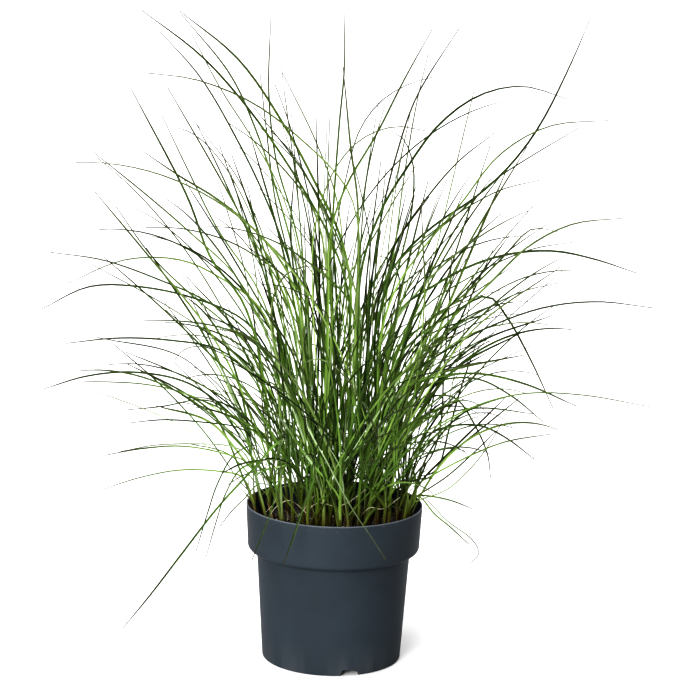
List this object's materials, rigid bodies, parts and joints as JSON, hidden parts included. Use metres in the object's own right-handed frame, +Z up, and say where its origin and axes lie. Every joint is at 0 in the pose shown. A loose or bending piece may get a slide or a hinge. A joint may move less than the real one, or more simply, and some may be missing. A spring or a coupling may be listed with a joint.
{
  "type": "potted ornamental grass clump",
  "caption": "Fountain of long, fine, arching green leaves rising from sheathed tillers in a dark grey round nursery pot with a deep collar, filled with potting soil.",
  "frame": {"origin": "middle of the pot's foot, on the ground under it", "axes": "+Z up; -Y is the front of the pot, as first seen; +X to the right when seen from the front"},
  "size_m": [0.6367, 0.56, 0.698],
  "materials": {
    "pot_plastic": "satin dark grey moulded polypropylene",
    "potting_soil": "damp dark peat crumbs with bark chips",
    "leaf_green": "satin green leaf with fine ribs",
    "leaf_deep_green": "satin deep green leaf with fine ribs",
    "leaf_pale_green": "satin pale yellowish green leaf with fine ribs"
  },
  "bodies": {
    "root": {"pot": "pot_plastic", "soil": "potting_soil", "tiller_01": "leaf_deep_green", "tiller_02": "leaf_pale_green", "tiller_03": "leaf_green", "tiller_04": "leaf_deep_green", "tiller_05": "leaf_pale_green", "tiller_06": "leaf_green", "tiller_07": "leaf_deep_green", "tiller_08": "leaf_pale_green", "tiller_09": "leaf_green", "tiller_10": "leaf_deep_green", "tiller_11": "leaf_pale_green", "tiller_12": "leaf_green", "tiller_13": "leaf_deep_green", "tiller_14": "leaf_pale_green", "tiller_15": "leaf_green", "tiller_16": "leaf_deep_green", "tiller_17": "leaf_pale_green", "tiller_18": "leaf_green", "tiller_19": "leaf_deep_green", "tiller_20": "leaf_pale_green", "tiller_21": "leaf_green", "tiller_22": "leaf_deep_green", "tiller_23": "leaf_pale_green", "tiller_24": "leaf_green", "tiller_25": "leaf_deep_green", "tiller_26": "leaf_pale_green", "tiller_27": "leaf_green", "tiller_28": "leaf_deep_green", "tiller_29": "leaf_pale_green", "tiller_30": "leaf_green", "tiller_31": "leaf_deep_green", "tiller_32": "leaf_pale_green", "tiller_33": "leaf_green", "tiller_34": "leaf_deep_green", "tiller_35": "leaf_pale_green", "tiller_36": "leaf_green", "tiller_37": "leaf_deep_green", "tiller_38": "leaf_pale_green", "tiller_39": "leaf_green", "tiller_40": "leaf_deep_green", "tiller_41": "leaf_pale_green", "tiller_42": "leaf_green", "tiller_43": "leaf_deep_green", "tiller_44": "leaf_pale_green", "tiller_45": "leaf_green", "tiller_46": "leaf_deep_green", "tiller_47": "leaf_pale_green", "tiller_48": "leaf_green", "tiller_49": "leaf_deep_green", "tiller_50": "leaf_pale_green", "tiller_51": "leaf_green", "tiller_52": "leaf_deep_green", "tiller_53": "leaf_pale_green", "tiller_54": "leaf_green"}
  },
  "joints": []
}
